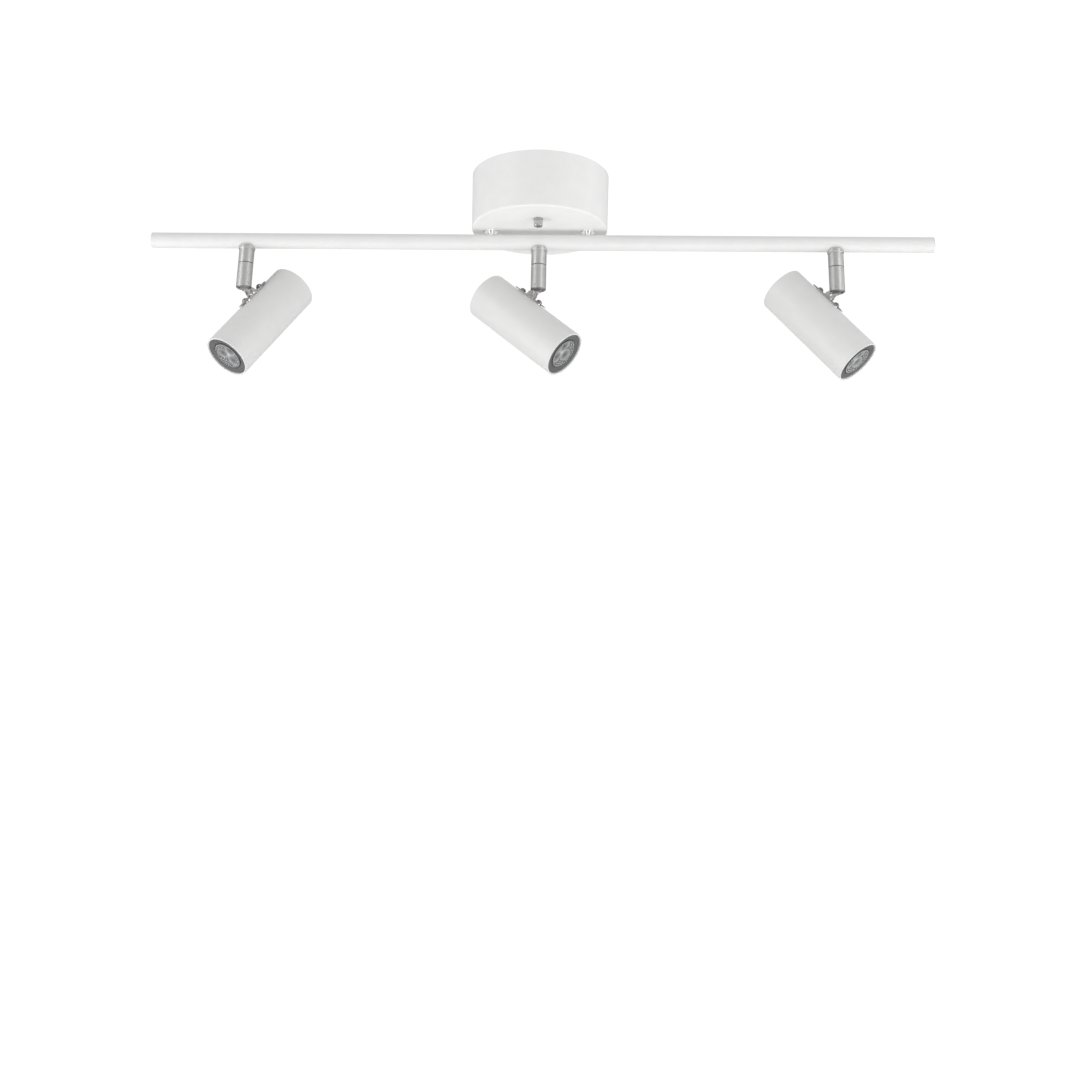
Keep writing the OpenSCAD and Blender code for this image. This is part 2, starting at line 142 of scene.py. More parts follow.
def threaded_rod(name, radius, bore, length, pitch, place, segments=24, steps=4):
    """A rod or a hollow nipple with a helical V thread, along the X axis of its place."""
    depth = THREAD_DEPTH * pitch
    count = max(2, round(length / pitch * steps))
    verts = []
    for i in range(count + 1):
        x = length * i / count
        fade = min(1, 2 * x / pitch, 2 * (length - x) / pitch)
        for k in range(segments):
            phase = (x / pitch - k / segments) % 1
            r = radius - depth * (1 - fade * abs(2 * phase - 1))
            a = 2 * math.pi * k / segments
            verts.append((x, r * math.cos(a), r * math.sin(a)))
    faces = [(i * segments + k, i * segments + (k + 1) % segments,
              (i + 1) * segments + (k + 1) % segments, (i + 1) * segments + k)
             for i in range(count) for k in range(segments)]
    first = list(range(segments))
    last = list(range(count * segments, (count + 1) * segments))
    if bore > 0:
        start = len(verts)
        for x in (0, length):
            for k in range(segments):
                a = 2 * math.pi * k / segments
                verts.append((x, bore * math.cos(a), bore * math.sin(a)))
        inner_first = list(range(start, start + segments))
        inner_last = list(range(start + segments, start + 2 * segments))
        for a, b in ((inner_first, first), (last, inner_last), (inner_last, inner_first)):
            faces += [(a[k], a[(k + 1) % segments], b[(k + 1) % segments], b[k]) for k in range(segments)]
    else:
        faces += [tuple(reversed(first)), tuple(last)]
    return mesh_object(name, verts, faces, place, sharp=50)


def join(name, objects):
    """Makes one piece of several meshes that share a material and a body."""
    data = bmesh.new()
    for obj in objects:
        part = obj.data
        part.transform(obj.matrix_world)
        data.from_mesh(part)
        bpy.data.objects.remove(obj)
    mesh = bpy.data.meshes.new(name)
    data.to_mesh(mesh)
    data.free()
    joined = bpy.data.objects.new(name, mesh)
    bpy.context.scene.collection.objects.link(joined)
    return joined


def settle(piece, body, slot, material, *nodes):
    """Gives a piece its body and material, and lets it stand for CAD nodes; its slot is not used."""
    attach(piece, body)
    if nodes:
        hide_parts(*nodes)
    piece.data.materials.clear()
    piece.data.materials.append(material)


# ---- Materials ----

class Shader:
    """A material under construction: its principled shader and short ways to add nodes."""

    def __init__(self, name, color, roughness, metallic=0.0, **sockets):
        self.material = bpy.data.materials.new(name)
        self.material.use_nodes = True
        self.tree = self.material.node_tree
        self.bsdf = self.tree.nodes["Principled BSDF"]
        self.bsdf.inputs["Base Color"].default_value = (*color, 1)
        self.bsdf.inputs["Roughness"].default_value = roughness
        self.bsdf.inputs["Metallic"].default_value = metallic
        for socket, value in sockets.items():
            self.bsdf.inputs[socket.replace("_", " ")].default_value = value
        self.color = color
        self.coords = self.node("ShaderNodeTexCoord").outputs["Object"]
        self.height = None

    def node(self, kind, **values):
        made = self.tree.nodes.new(kind)
        for key, value in values.items():
            setattr(made, key, value)
        return made

    def link(self, source, target):
        self.tree.links.new(source, target)

    def stretched(self, x, y, z):
        """Object coordinates scaled along the axes, for brushing and grain."""
        mapping = self.node("ShaderNodeMapping")
        mapping.inputs["Scale"].default_value = (x, y, z)
        self.link(self.coords, mapping.inputs["Vector"])
        return mapping.outputs["Vector"]

    def noise(self, scale, detail, vector=None):
        """Noise from 0 to 1; scale is in waves per metre."""
        made = self.node("ShaderNodeTexNoise")
        made.inputs["Scale"].default_value = scale
        made.inputs["Detail"].default_value = detail
        made.inputs["Roughness"].default_value = 0.55
        self.link(vector or self.coords, made.inputs["Vector"])
        return made.outputs["Fac"]

    def ramp(self, value, low, high, dark, light):
        """Maps a value between low and high onto two colours."""
        made = self.node("ShaderNodeValToRGB")
        made.color_ramp.elements[0].position = low
        made.color_ramp.elements[1].position = high
        made.color_ramp.elements[0].color = (*dark, 1)
        made.color_ramp.elements[1].color = (*light, 1)
        self.link(value, made.inputs["Fac"])
        return made.outputs["Color"]

    def tint(self, value, spread):
        """Varies the base colour by a small share of itself, along the middle part of a noise."""
        dark = [c * (1 - spread) for c in self.color]
        light = [min(1, c * (1 + spread)) for c in self.color]
        self.link(self.ramp(value, 0.35, 0.65, dark, light), self.bsdf.inputs["Base Color"])

    def roughen(self, value, low, high):
        """Maps a value from 0 to 1 onto the roughness."""
        made = self.node("ShaderNodeMapRange")
        made.inputs["To Min"].default_value = low
        made.inputs["To Max"].default_value = high
        self.link(value, made.inputs["Value"])
        self.link(made.outputs["Result"], self.bsdf.inputs["Roughness"])

    def bump(self, value, strength, distance):
        """Adds fine relief to what is there; distance is its height in metres."""
        made = self.node("ShaderNodeBump")
        made.inputs["Strength"].default_value = strength
        made.inputs["Distance"].default_value = distance
        self.link(value, made.inputs["Height"])
        if self.height is not None:
            self.link(self.height, made.inputs["Normal"])
        self.height = made.outputs["Normal"]
        self.link(self.height, self.bsdf.inputs["Normal"])

    def paint_shade_below(self, z, height, share):
        """Painted shade: multiplies the base colour by a share below a height of the frame."""
        split = self.node("ShaderNodeSeparateXYZ")
        self.link(self.coords, split.inputs[0])
        level = self.node("ShaderNodeMapRange")
        level.inputs["From Min"].default_value = z
        level.inputs["From Max"].default_value = z + height
        level.inputs["To Min"].default_value = share
        self.link(split.outputs["Z"], level.inputs["Value"])
        scale = self.node("ShaderNodeVectorMath", operation="SCALE")
        self.link(self.bsdf.inputs["Base Color"].links[0].from_socket, scale.inputs[0])
        self.link(level.outputs["Result"], scale.inputs["Scale"])
        self.link(scale.outputs["Vector"], self.bsdf.inputs["Base Color"])


def powder_coat(name, color, roughness=0.38):
    """Fine-textured white paint: orange peel over a faint mottle."""
    s = Shader(name, color, roughness, Specular_IOR_Level=0.5)
    peel = s.noise(scale=900, detail=2)
    s.tint(s.noise(scale=60, detail=4), spread=0.012)
    s.roughen(s.noise(scale=350, detail=3), roughness - 0.05, roughness + 0.06)
    s.bump(peel, strength=0.12, distance=0.00015)
    s.bump(s.noise(scale=3200, detail=2), strength=0.08, distance=0.00005)
    return s.material


def brushed_metal(name, color, roughness, lines, strength, painted_shade_end=None):
    """Turned or brushed metal with fine lines across its length, and perhaps painted shade at its lower
    end.
    """
    s = Shader(name, color, roughness, 1.0)
    grain = s.noise(scale=1.0, detail=4, vector=s.stretched(*lines))
    s.tint(grain, spread=0.05)
    if painted_shade_end is not None:
        # Painted shade on the lowest part of the stem
        s.paint_shade_below(painted_shade_end, height=0.0003, share=0.48)
    s.roughen(grain, roughness - 0.05, roughness + 0.08)
    s.bump(grain, strength, distance=0.00005)
    return s.material


def plated_metal(name, color, roughness, spread=0.04):
    """Plated metal with faint clouding and handling marks."""
    s = Shader(name, color, roughness, 1.0)
    s.tint(s.noise(scale=450, detail=4), spread)
    s.roughen(s.noise(scale=1400, detail=4), max(0.02, roughness - 0.05), roughness + 0.08)
    s.bump(s.noise(scale=5200, detail=3), strength=0.05, distance=0.00003)
    return s.material


def moulded_plastic(name, color, roughness, spread=0.02):
    """Plastic with the fine grain of its mould."""
    s = Shader(name, color, roughness)
    s.tint(s.noise(scale=120, detail=4), spread)
    s.roughen(s.noise(scale=800, detail=3), roughness - 0.05, roughness + 0.06)
    s.bump(s.noise(scale=4200, detail=2), strength=0.1, distance=0.00004)
    return s.material


def glazed_ceramic(name):
    """Cream-coloured lamp holder ceramic, slightly pitted."""
    s = Shader(name, (0.78, 0.74, 0.66), 0.42)
    s.tint(s.noise(scale=700, detail=5), spread=0.05)
    s.bump(s.noise(scale=2600, detail=4), strength=0.25, distance=0.00006)
    return s.material


# Colours along the lead_tone attribute: the harness's sleeve, then the brown, blue and green-yellow leads
LEAD_TONES = ((0.74, 0.73, 0.68), (0.20, 0.08, 0.03), (0.05, 0.16, 0.50), (0.36, 0.50, 0.06))
FIRST_LEAD_TONE = 0.2    # lead_tone from here on is a lead's
LEAD_TONE_STEP = 0.25    # from one lead's values to the next's
LEAD_TONE_INSET = 0.1    # a lead's value lies this far above the first that is its own


def lead_insulation(name):
    """Each lead's own colour and the harness's sleeve, by the piece's lead_tone attribute."""
    s = Shader(name, LEAD_TONES[0], 0.45)
    tone = s.node("ShaderNodeAttribute")
    tone.attribute_name = "lead_tone"
    colors = s.node("ShaderNodeValToRGB")
    colors.color_ramp.interpolation = "CONSTANT"
    colors.color_ramp.elements[1].position = FIRST_LEAD_TONE
    for i, color in enumerate(LEAD_TONES):
        if i > 1:
            colors.color_ramp.elements.new(FIRST_LEAD_TONE + LEAD_TONE_STEP * (i - 1))
        colors.color_ramp.elements[i].color = (*color, 1)
    s.link(tone.outputs["Fac"], colors.inputs["Fac"])
    mottle = s.node("ShaderNodeMixRGB", blend_type="MULTIPLY")
    mottle.inputs["Fac"].default_value = 0.15
    s.link(colors.outputs["Color"], mottle.inputs["Color1"])
    s.link(s.noise(scale=900, detail=3), mottle.inputs["Color2"])
    s.link(mottle.outputs["Color"], s.bsdf.inputs["Base Color"])
    s.bump(s.noise(scale=3000, detail=2), strength=0.1, distance=0.00004)
    return s.material


STEM_NICKEL = ((0.59, 0.59, 0.585), 0.43)      # colour and roughness
STEM_LINES = (120, 120, 4000)      # waves per metre along x, y and z, for lines round a stem
SHADED_END_H = 0.8         # in mm; painted shade on the lowest part of a lower stem, where it meets the parts below

canopy_paint = powder_coat("canopy_powder_coat", (0.865, 0.865, 0.86))
bar_paint = powder_coat("bar_powder_coat", (0.83, 0.83, 0.825), 0.3)
# The heads have the same white paint as the canopy and bar; the darker colour here is painted shade
shaded_head_paint = powder_coat("shaded_head_powder_coat", (0.75, 0.75, 0.745), 0.42)
plug_white = moulded_plastic("plug_white_plastic", (0.82, 0.82, 0.815), 0.4)
satin_nickel = brushed_metal("satin_nickel", *STEM_NICKEL, STEM_LINES, 0.02)
# The lower stems' nickel, with painted shade on their lowest part
fork_nickel = brushed_metal("fork_nickel", *STEM_NICKEL, STEM_LINES, 0.02,
                            painted_shade_end=extent("stem_lower_middle")[0].z + SHADED_END_H * MM)
bright_nickel = plated_metal("bright_nickel", (0.62, 0.61, 0.59), 0.11)
plate_nickel = plated_metal("plate_nickel", (0.42, 0.42, 0.415), 0.24)
screw_steel = plated_metal("screw_steel", (0.30, 0.30, 0.30), 0.16)
# One chrome plating in two copies: the spacers' is made brighter, a painted highlight; the cap nuts' and
# washers' is made darker, painted shade
chrome = plated_metal("lit_chrome_plate", (0.92, 0.92, 0.92), 0.06, 0.02)
shaded_nut_chrome = plated_metal("shaded_nut_chrome", (0.50, 0.50, 0.50), 0.09, 0.03)
zinc = plated_metal("zinc_plate", (0.58, 0.59, 0.60), 0.34, 0.08)
brass = plated_metal("brass", (0.72, 0.52, 0.22), 0.28, 0.08)
nylon = moulded_plastic("terminal_nylon", (0.80, 0.79, 0.74), 0.45)
ceramic = glazed_ceramic("steatite")
lamp_white = moulded_plastic("lamp_white_plastic", (0.80, 0.80, 0.79), 0.4)
insulation = lead_insulation("lead_insulation")
ring_grey = moulded_plastic("lamp_ring_grey", (0.120, 0.120, 0.122), 0.36, 0.06)


def lens_material():
    """Clear optic over a dark board, with painted highlights where the optic stands high and painted shade
    in its wells.
    """
    s = Shader("optic", (0.30, 0.31, 0.32), 0.22, Coat_Weight=0.35, Coat_Roughness=0.08)
    # This attribute holds the optic's painted highlights and painted shade
    level = s.node("ShaderNodeAttribute")
    level.attribute_name = "optic_painted_light"
    mottle = s.noise(scale=900, detail=3)
    mix = s.node("ShaderNodeMath", operation="MULTIPLY_ADD")
    mix.inputs[1].default_value = 0.06
    s.link(mottle, mix.inputs[0])
    s.link(level.outputs["Fac"], mix.inputs[2])
    ramp = s.ramp(mix.outputs[0], 0.05, 1.0, dark=(0.05, 0.05, 0.05), light=(0.64, 0.65, 0.66))
    s.link(ramp, s.bsdf.inputs["Base Color"])
    s.bump(s.noise(scale=2600, detail=2), strength=0.12, distance=0.00005)
    return s.material


optic = lens_material()


# ---- Lamp optic, in millimetres ----

LENS_R = 17.3
CELL_RING_R = 8.5        # distance of each cell's middle from the lens's middle
CELL_R = 7.3
BEAD_RING_R = 16.1       # radius of the outermost ring of beads
BEAD_PITCH = 2.4
BEAD_R = 1.0
BEAD_RISE = 0.7
EDGE_W = 0.8             # plain edge outside the beads
HUB_HIGHLIGHT_R = 1.7              # painted highlight where the three cells meet
BRIDGE_R = 4.5           # plain ground between the cells, out to here
BOWL_EDGE = 0.35         # depth of the bowl at the lens's edge
BOWL_DROP = 2.05         # how much deeper it gets
BOWL_SLOPE = 10          # over this distance
CUP_DEPTH = 3.0
CUP_RISE = 0.5           # a cup's floor rises this far towards its wall
WELL_RISE = 0.3          # soft lens in the middle of each cup
WELL_SHARE = 0.40        # its size; this and the next three are shares of a cup's radius
WALL_SHARE = 0.9         # where the cup's wall starts
RIM_HIGHLIGHT_SHARE = 0.92         # middle of the painted highlight on a cup's rim
RIM_HIGHLIGHT_SPREAD = 0.12
BEAD_FADE = 0.08         # round a cup, the beads rise over this share of its radius
OPTIC_BACK = 3.12        # depth of the optic's flat back
# How pale each part of the optic is, or how much it adds: its own tone with painted highlights and painted
# shade
OPTIC_TONE_AND_PAINTED_LIGHT = {"cup": 0.27, "cup_outside": 0.10, "well": -0.15, "rim": 0.30, "cup_hub": 0.35,
        "bridge": 0.58, "hub_highlight": 0.42, "ground": 0.09, "bead": 1.0, "back": 0.1}


def smooth(t):
    """Eases from 0 to 1 while t goes from 0 to 1."""
    t = min(1, max(0, t))
    return t * t * (3 - 2 * t)


def bead_height(y, z):
    """Small round beads in staggered rings, from 0 between them to 1 on their tops."""
    r = math.hypot(y, z)
    row = round((BEAD_RING_R - r) / BEAD_PITCH)
    ring_r = BEAD_RING_R - row * BEAD_PITCH
    step = 2 * math.pi / round(2 * math.pi * ring_r / BEAD_PITCH)
    a = math.atan2(z, y) + (row % 2) * step / 2
    across = (a - round(a / step) * step) * r
    off = math.hypot(r - ring_r, across)
    return math.sqrt(max(0.0, 1 - (off / BEAD_R) ** 2))


def optic_height(y, z, turn):
    """Height in mm of the three-cell optic, and how pale it is there from 0 to 1, with painted highlights
    and painted shade.

    Three round cups are sunk side by side into a shallow beaded bowl.
    """
    r = math.hypot(y, z)
    turned_y = y * math.cos(turn) + z * math.sin(turn)
    turned_z = z * math.cos(turn) - y * math.sin(turn)
    cells = [(CELL_RING_R * math.cos(a), CELL_RING_R * math.sin(a))
             for a in (0, 2 * math.pi / 3, -2 * math.pi / 3)]
    nearest = min(math.hypot(turned_y - cell_y, turned_z - cell_z) for cell_y, cell_z in cells)
    t = nearest / CELL_R
    hub_highlight = math.exp(-(r / HUB_HIGHLIGHT_R) ** 2)
    bowl = -BOWL_EDGE - BOWL_DROP * smooth((LENS_R - r) / BOWL_SLOPE)
    if t < 1:
        well = math.exp(-(t / WELL_SHARE) ** 2)
        rim = math.exp(-((t - RIM_HIGHLIGHT_SHARE) / RIM_HIGHLIGHT_SPREAD) ** 2)
        wall = smooth((t - WALL_SHARE) / (1 - WALL_SHARE))
        floor = -CUP_DEPTH + CUP_RISE * smooth(t * 1.1) + WELL_RISE * well
        # A cup is painted paler outwards, with painted shade in its well and painted highlights on its rim
        # and near the middle
        tone = OPTIC_TONE_AND_PAINTED_LIGHT["cup"] + OPTIC_TONE_AND_PAINTED_LIGHT["cup_outside"] * smooth(t * 1.3)
        tone += OPTIC_TONE_AND_PAINTED_LIGHT["well"] * well + OPTIC_TONE_AND_PAINTED_LIGHT["rim"] * rim + OPTIC_TONE_AND_PAINTED_LIGHT["cup_hub"] * hub_highlight
        return floor + (bowl - floor) * wall, tone
    if r < BRIDGE_R:
        # The ground between the cells is painted pale: a painted highlight
        return bowl, OPTIC_TONE_AND_PAINTED_LIGHT["bridge"] + OPTIC_TONE_AND_PAINTED_LIGHT["hub_highlight"] * hub_highlight
    edge = smooth((LENS_R - r) / EDGE_W)
    bead = bead_height(turned_y, turned_z) * edge * smooth((t - 1) / BEAD_FADE)
    # Each bead's top is painted pale: a painted highlight
    return bowl + BEAD_RISE * bead, OPTIC_TONE_AND_PAINTED_LIGHT["ground"] + OPTIC_TONE_AND_PAINTED_LIGHT["bead"] * bead ** 3


def optic_disc(name, place, turn, rings=110, segments=300):
    """The optic as a fine polar height field with a plain edge and a flat back."""
    verts = [(optic_height(0, 0, turn)[0] * MM, 0, 0)]
    painted_light_levels = [optic_height(0, 0, turn)[1]]
    for i in range(1, rings + 1):
        r = LENS_R * i / rings
        for k in range(segments):
            a = 2 * math.pi * k / segments
            y = r * math.cos(a)
            z = r * math.sin(a)
            height, level = optic_height(y, z, turn)
            verts.append((height * MM, y * MM, z * MM))
            painted_light_levels.append(level)
    faces = [(0, 1 + k, 1 + (k + 1) % segments) for k in range(segments)]
    for i in range(rings - 1):
        for k in range(segments):
            m = (k + 1) % segments
            low = 1 + i * segments
            faces.append((low + k, low + segments + k, low + segments + m, low + m))
    edge = 1 + (rings - 1) * segments
    back = len(verts)
    for k in range(segments):
        a = 2 * math.pi * k / segments
        verts.append((-OPTIC_BACK * MM, LENS_R * math.cos(a) * MM, LENS_R * math.sin(a) * MM))
        painted_light_levels.append(OPTIC_TONE_AND_PAINTED_LIGHT["back"])
    faces += [(edge + k, back + k, back + (k + 1) % segments, edge + (k + 1) % segments)
              for k in range(segments)]
    faces.append(tuple(back + k for k in reversed(range(segments))))
    disc = mesh_object(name, verts, faces, place, sharp=60)
    # The painted highlights and painted shade at each point, for the optic's material
    attribute = disc.data.attributes.new("optic_painted_light", "FLOAT", "POINT")
    attribute.data.foreach_set("value", painted_light_levels)
    return disc


# ---- Heads ----

BORE_GAP = 0.35          # in mm, between a lamp's ring and the bore of its head
RING_BORE_R = 17.45      # in mm
LIP_NOTCHES = 44         # round the inner lip of a lamp's ring
OPTIC_TURN = {"left": 22, "middle": 0, "right": 0}      # degrees that each lamp is turned in its head


def head_shell(spot, place, axis):
    """A head's tube, with a fine front rim and a rounder rear edge."""
    low, high = extent("head_tube_" + spot, place)
    ring_low, ring_high = extent("lamp_ring_" + spot, place)
    outer = (high.z - low.z) / 2
    bore = (ring_high.z - ring_low.z) / 2 + BORE_GAP * MM
    rim = 0.45 * MM
    rear_edge = 1.1 * MM
    rear_lip = 0.3 * MM
    bore_end = 60 * MM       # the profile starts and ends on the bore's line
    profile = [(high.x - bore_end, bore)]
    profile += arc(high.x - rim, bore + rim, rim, -90, 0)
    profile += arc(high.x - rim, outer - rim, rim, 0, 90)
    profile += arc(low.x + rear_edge, outer - rear_edge, rear_edge, 90, 180)
    profile += arc(low.x + rear_lip, bore + rear_lip, rear_lip, 180, 270)
    profile += [(low.x + bore_end, bore)]
    shell = lathe("head_shell_" + spot, profile, axis, 160, closed=True)
    settle(shell, "head_" + spot, "white_paint", shaded_head_paint, "head_tube_" + spot)


def head_cap(spot, place, axis):
    """A head's rear cap: a face with a fine groove, a raised round edge and a short skirt."""
    low, high = extent("rear_cap_" + spot, place)
    cap_r = (high.z - low.z) / 2
    rear = low.x
    sunk = 0.25 * MM
    groove_r = 0.6 * MM
    border = 3.6 * MM        # from the groove to the edge
    edge = 0.5 * MM
    face_t = 1.6 * MM
    skirt_t = 1.2 * MM
    profile = [(rear + sunk, 0), (rear + sunk, cap_r - border - 1.5 * groove_r)]
    profile += arc(rear + sunk + groove_r, cap_r - border, groove_r, 250, 180, 4)
    profile += arc(rear + edge, cap_r - edge, edge, 180, 90)
    profile += [(high.x, cap_r), (high.x, cap_r - skirt_t), (rear + face_t, cap_r - skirt_t - 0.2 * MM),
                (rear + face_t, 0)]
    cap = lathe("head_cap_" + spot, profile, axis, 128)
    settle(cap, "head_" + spot, "white_paint", shaded_head_paint, "rear_cap_" + spot)


def lamp_bezel(spot, axis, low, high):
    """A lamp's dark ring: a round edge, a slightly dished face and a notched inner lip."""
    front = high.x
    outer = (high.z - low.z) / 2
    inner = RING_BORE_R * MM
    edge = 0.5 * MM
    lip = 0.45 * MM
    lip_depth = 1.0 * MM     # from the front to the middle of the lip's rounding
    notch_depth = 0.5 * MM
    profile = [(low.x, outer)]
    profile += arc(front - edge, outer - edge, edge, 90, 20)
    profile += [(front - 0.15 * MM, outer - 1.2 * MM), (front - 0.55 * MM, inner + 1.0 * MM)]
    profile += arc(front - lip_depth, inner + 0.6 * MM, lip, 80, 180)
    profile += [(front - lip_depth - lip, inner), (low.x, inner)]
    bezel = lathe("lamp_bezel_" + spot, profile, axis, 8 * LIP_NOTCHES, closed=True)
    for v in bezel.data.vertices:
        if math.hypot(v.co.y, v.co.z) < inner + 1.1 * MM and v.co.x > front - 1.2 * MM:
            notch = 0.5 + 0.5 * math.cos(LIP_NOTCHES * math.atan2(v.co.z, v.co.y))
            v.co.x -= notch_depth * notch ** 2
    settle(bezel, "head_" + spot, "lamp_ring", ring_grey, "lamp_ring_" + spot)


def head_pieces(spot):
    """A head's shell and cap, and its lamp's ring and optic."""
    place = head_frame(spot)
    axis = place @ Matrix.Translation((0, 0, middle(*extent("head_tube_" + spot, place)).z))
    head_shell(spot, place, axis)
    head_cap(spot, place, axis)
    ring_low, ring_high = extent("lamp_ring_" + spot, place)
    lamp_bezel(spot, axis, ring_low, ring_high)
    seat = axis @ Matrix.Translation((ring_high.x, 0, 0))
    lens = optic_disc("lamp_optic_" + spot, seat, math.radians(OPTIC_TURN[spot]))
    settle(lens, "head_" + spot, "lamp_lens", optic, "lamp_lens_" + spot)


for spot in SPOTS:
    head_pieces(spot)


# ---- Stems, bar ends, nuts and threads ----

def stem_sleeve(spot):
    """Upper stem with rounded ends and a fine neck below its collar."""
    low, high = extent("stem_upper_" + spot)
    outer = (high.x - low.x) / 2
    length = high.z - low.z
    bore = 4.1 * MM
    soft = 0.35 * MM
    neck = outer - 0.4 * MM
    neck_l = 0.6 * MM
    profile = [(0, bore)]
    profile += arc(soft, outer - soft, soft, 180, 90)
    profile += [(length - 1.25 * neck_l, outer), (length - neck_l, neck), (length, neck), (length, bore)]
    centre = middle(low, high)
    sleeve = lathe("stem_sleeve_" + spot, profile, upright(centre.x, centre.y, low.z), 144, closed=True)
    settle(sleeve, "frame", "satin_nickel", satin_nickel, "stem_upper_" + spot)


def flute(turned, low, high, count, depth):
    """Cuts shallow flutes along a turned part between two heights; depth is a share of its radius."""
    for v in turned.data.vertices:
        if low <= v.co.x <= high:
            a = math.atan2(v.co.z, v.co.y)
            share = 1 - depth * (0.5 + 0.5 * math.cos(count * a)) ** 3
            v.co.y *= share
            v.co.z *= share


def bar_plugs():
    """End plugs: a softly domed face over the bar's end and a hollow spigot inside it."""
    low, high = extent("bar_end_plugs")
    flange_r = (high.z - low.z) / 2
    flange_t = 1.5 * MM
    dome = 0.22 * MM
    edge = 0.6 * MM
    spigot_r = flange_r - 1.1 * MM
    spigot_bore = spigot_r - 1.5 * MM
    spigot_end = 11.5 * MM
    bevel = 0.5 * MM
    floor_x = 3 * MM
    profile = [(0, 0), (0.02 * MM, 3 * MM), (0.1 * MM, 6 * MM), (dome, spigot_r)]
    profile += arc(dome + edge, flange_r - edge, edge, 165, 90)
    profile += [(flange_t, flange_r), (flange_t, spigot_r), (spigot_end - bevel, spigot_r)]
    profile += [(spigot_end, spigot_r - bevel), (spigot_end, spigot_bore)]
    profile += [(floor_x, spigot_bore), (floor_x, 0)]
    z = middle(low, high).z
    turned_round = Matrix.Rotation(math.pi, 4, "Z")
    left = lathe("plug_a", profile, Matrix.Translation((low.x, 0, z)), 96)
    right = lathe("plug_b", profile, Matrix.Translation((high.x, 0, z)) @ turned_round, 96)
    settle(join("bar_plugs", [left, right]), "frame", "white_plastic", plug_white, "bar_end_plugs")


def nut_profile(length, outer):
    """A blind nut from its round lower end up: a body, a fine groove and a shoulder."""
    body_r = outer - 0.3 * MM
    groove_r = outer - 0.55 * MM
    end_edge = 0.75 * MM
    shoulder_edge = 0.3 * MM
    hole_r = 2.05 * MM
    hole_floor = 1.5 * MM
    groove_low = length - 1.9 * MM
    groove_high = length - 1.6 * MM
    slope = 0.2 * MM
    profile = [(0, 0), (0.05 * MM, outer - 1.6 * MM)]
    profile += arc(0.8 * MM, body_r - end_edge, end_edge, 180, 90)
    profile += [(1.1 * MM, body_r), (groove_low - 0.5 * MM, body_r), (groove_low - slope, body_r),
                (groove_low, groove_r), (groove_high, groove_r), (groove_high + slope, outer - 0.1 * MM)]
    profile += arc(length - shoulder_edge, outer - shoulder_edge, shoulder_edge, 90, 0)
    return profile + [(length, hole_r), (hole_floor, hole_r), (hole_floor, 0)]


def washer_profile(thick, wide):
    """A thin washer with soft edges."""
    hole_r = 2.1 * MM
    edge = 0.2 * MM
    profile = [(0, hole_r)] + arc(edge, wide - edge, edge, 180, 90)
    profile += arc(thick - edge, wide - edge, edge, 90, 0)
    return profile + [(thick, hole_r)]


def canopy_nuts():
    """Fluted cap nuts under the canopy, on thin washers."""
    low, high = extent("cap_nuts")
    washer_low, washer_high = extent("cap_washers")
    length = high.z - low.z
    outer = (high.x - low.x) / 2
    thick = washer_high.z - washer_low.z
    nuts = []
    washers = []
    for side in (-1, 1):
        y = side * (high.y - outer)
        nut = lathe("nut", nut_profile(length, outer), upright(0, y, low.z), 192)
        flute(nut, 1.0 * MM, length - 2.3 * MM, count=16, depth=0.05)
        nuts.append(nut)
        profile = washer_profile(thick, outer + 0.3 * MM)
        washers.append(lathe("washer", profile, upright(0, y, washer_low.z), 96, closed=True))
    settle(join("canopy_nuts", nuts), "frame", "chrome", shaded_nut_chrome, "cap_nuts")
    settle(join("canopy_washers", washers), "frame", "chrome", shaded_nut_chrome, "cap_washers")


# Studs and nipples, in millimetres
STUD_R = 2
STUD_PITCH = 0.7
STUD_HEAD_T = 0.9
STUD_HEAD_BEVEL = 0.3
NIPPLE_R = 3             # as in the CAD
NIPPLE_BORE_R = 2.1
NIPPLE_PITCH = 1


def threads():
    """The bracket's two threaded studs with their heads, and the threaded nipples into the bar."""
    low, high = extent("bracket_studs")
    head_r = (high.x - low.x) / 2
    head_t = STUD_HEAD_T * MM
    bevel = STUD_HEAD_BEVEL * MM
    length = high.z - low.z - 0.5 * MM
    studs = []
    for side in (-1, 1):
        y = side * (high.y - head_r)
        place = upright(0, y, low.z)
        studs.append(threaded_rod("stud", STUD_R * MM, 0, length, STUD_PITCH * MM, place))
        profile = [(0, 0), (0, head_r - bevel), (bevel, head_r), (head_t, head_r), (head_t, 0)]
        studs.append(lathe("stud_head", profile, upright(0, y, high.z - head_t), 48))
    settle(join("threaded_studs", studs), "frame", "zinc_steel", zinc, "bracket_studs")
    low, high = extent("bar_nipples")
    nipple_r = (high.y - low.y) / 2
    length = high.z - low.z
    nipples = []
    for x in (low.x + nipple_r, high.x - nipple_r):
        place = upright(x, 0, low.z)
        nipple = threaded_rod("nipple", nipple_r, NIPPLE_BORE_R * MM, length, NIPPLE_PITCH * MM, place, 36)
        nipples.append(nipple)
    settle(join("threaded_nipples", nipples), "frame", "zinc_steel", zinc, "bar_nipples")


# Leads and harness, in millimetres
LEAD_R = 0.8
HARNESS_R = 2.2
DROP_R = 1.8             # the harness's branch into each stem
HARNESS_LOW = 1.7        # the harness lies this far below the bar's middle
TERMINAL_PITCH = 10      # between the poles of the terminal block
LEAD_START_Y = -7        # where the leads leave the terminals
LEAD_ACROSS_Y = -14      # where the first lead runs across
LEAD_FAN = 3             # the leads run this far apart on their way across
LEAD_NEST_R = 0.95       # their distance from the nipple's axis
LEAD_NEST = (90, 330, 210)         # and their angles round it, in degrees


